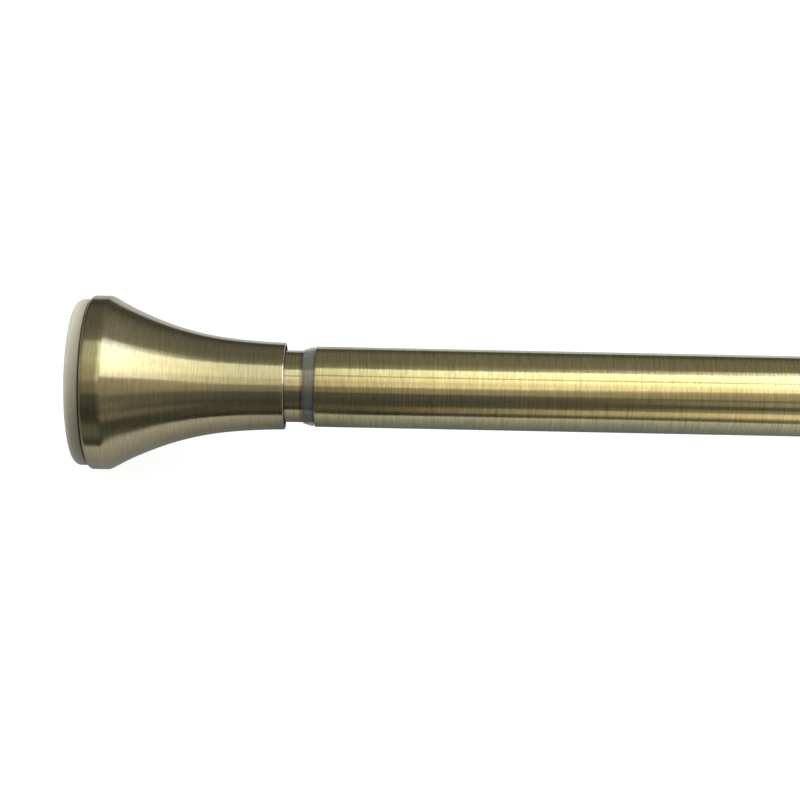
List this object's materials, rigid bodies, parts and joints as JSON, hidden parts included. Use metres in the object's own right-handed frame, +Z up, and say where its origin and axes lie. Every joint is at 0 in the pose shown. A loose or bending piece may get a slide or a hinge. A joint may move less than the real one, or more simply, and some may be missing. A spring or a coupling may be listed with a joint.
{
  "type": "shower curtain rod",
  "caption": "Telescopic tension rod for a shower curtain: two nested metal tubes with a twist-driven jack and spring inside, and a trumpet-shaped end cap with a soft wall pad at each end.",
  "frame": {"origin": "centre of the left pad's wall face, on the rod's axis", "axes": "+X along the rod to the right-hand wall, +Z up as the rod hangs between two walls, +Y away from the viewer"},
  "size_m": [1.1, 0.0604, 0.0604],
  "materials": {
    "antique_brass_cap": "antique brass plating, brushed around, lacquered",
    "antique_brass_tube": "antique brass plating, brushed around, lacquered",
    "pad_rubber": "soft cream rubber, slightly see-through, satin",
    "clear_plastic": "clear moulded plastic, faintly grey",
    "carrier_plastic": "moulded off-white plastic",
    "black_plastic": "moulded black plastic",
    "white_plastic": "moulded white plastic",
    "zinc_plated": "zinc-plated steel",
    "spring_steel": "spring steel wire"
  },
  "bodies": {
    "left_foot": {"left_pad": "pad_rubber", "left_carrier": "carrier_plastic", "left_cap": "antique_brass_cap"},
    "inner_tube_group": {"inner_tube": "antique_brass_tube", "end_plug": "black_plastic", "pivot_screw": "zinc_plated", "pivot_washer": "zinc_plated", "drive_nut": "black_plastic", "glide_ring": "white_plastic"},
    "jack_spindle": {"spindle": "zinc_plated", "stop_nut": "zinc_plated", "spring_nut": "zinc_plated", "end_nut": "zinc_plated", "cushion_spring": "spring_steel"},
    "lock": {"spring_seat": "zinc_plated", "lock_core": "black_plastic", "lock_plate": "zinc_plated"},
    "expander": {"lock_sleeve": "white_plastic"},
    "outer_tube_group": {"outer_tube": "antique_brass_tube", "collar_bush": "clear_plastic", "right_carrier": "carrier_plastic", "right_cap": "antique_brass_cap", "right_pad": "pad_rubber"}
  },
  "joints": [
    {"name": "tube_twist", "type": "hinge", "parent": "left_foot", "child": "inner_tube_group", "pos_m": [0.026, 0, 0], "axis": [1, 0, 0], "range_deg": [0, 2160]},
    {"name": "jack_screw", "type": "slide", "parent": "left_foot", "child": "jack_spindle", "axis": [1, 0, 0], "range_m": [0, 0.024]},
    {"name": "cushion_slide", "type": "slide", "parent": "jack_spindle", "child": "lock", "axis": [1, 0, 0], "range_m": [-0.008, 0], "stiffness_N_per_m": 6000, "springref_m": 0.004, "deforming": ["cushion_spring"]},
    {"name": "wedge_take_up", "type": "slide", "parent": "lock", "child": "expander", "axis": [1, 0, 0], "range_m": [-0.0012, 0]},
    {"name": "telescope", "type": "slide", "parent": "expander", "child": "outer_tube_group", "axis": [1, 0, 0], "range_m": [-0.0055, 0.795]}
  ],
  "couplings": [
    {"joint": "tube_twist", "follows": "jack_screw", "rad_per_m": 1570.8}
  ]
}
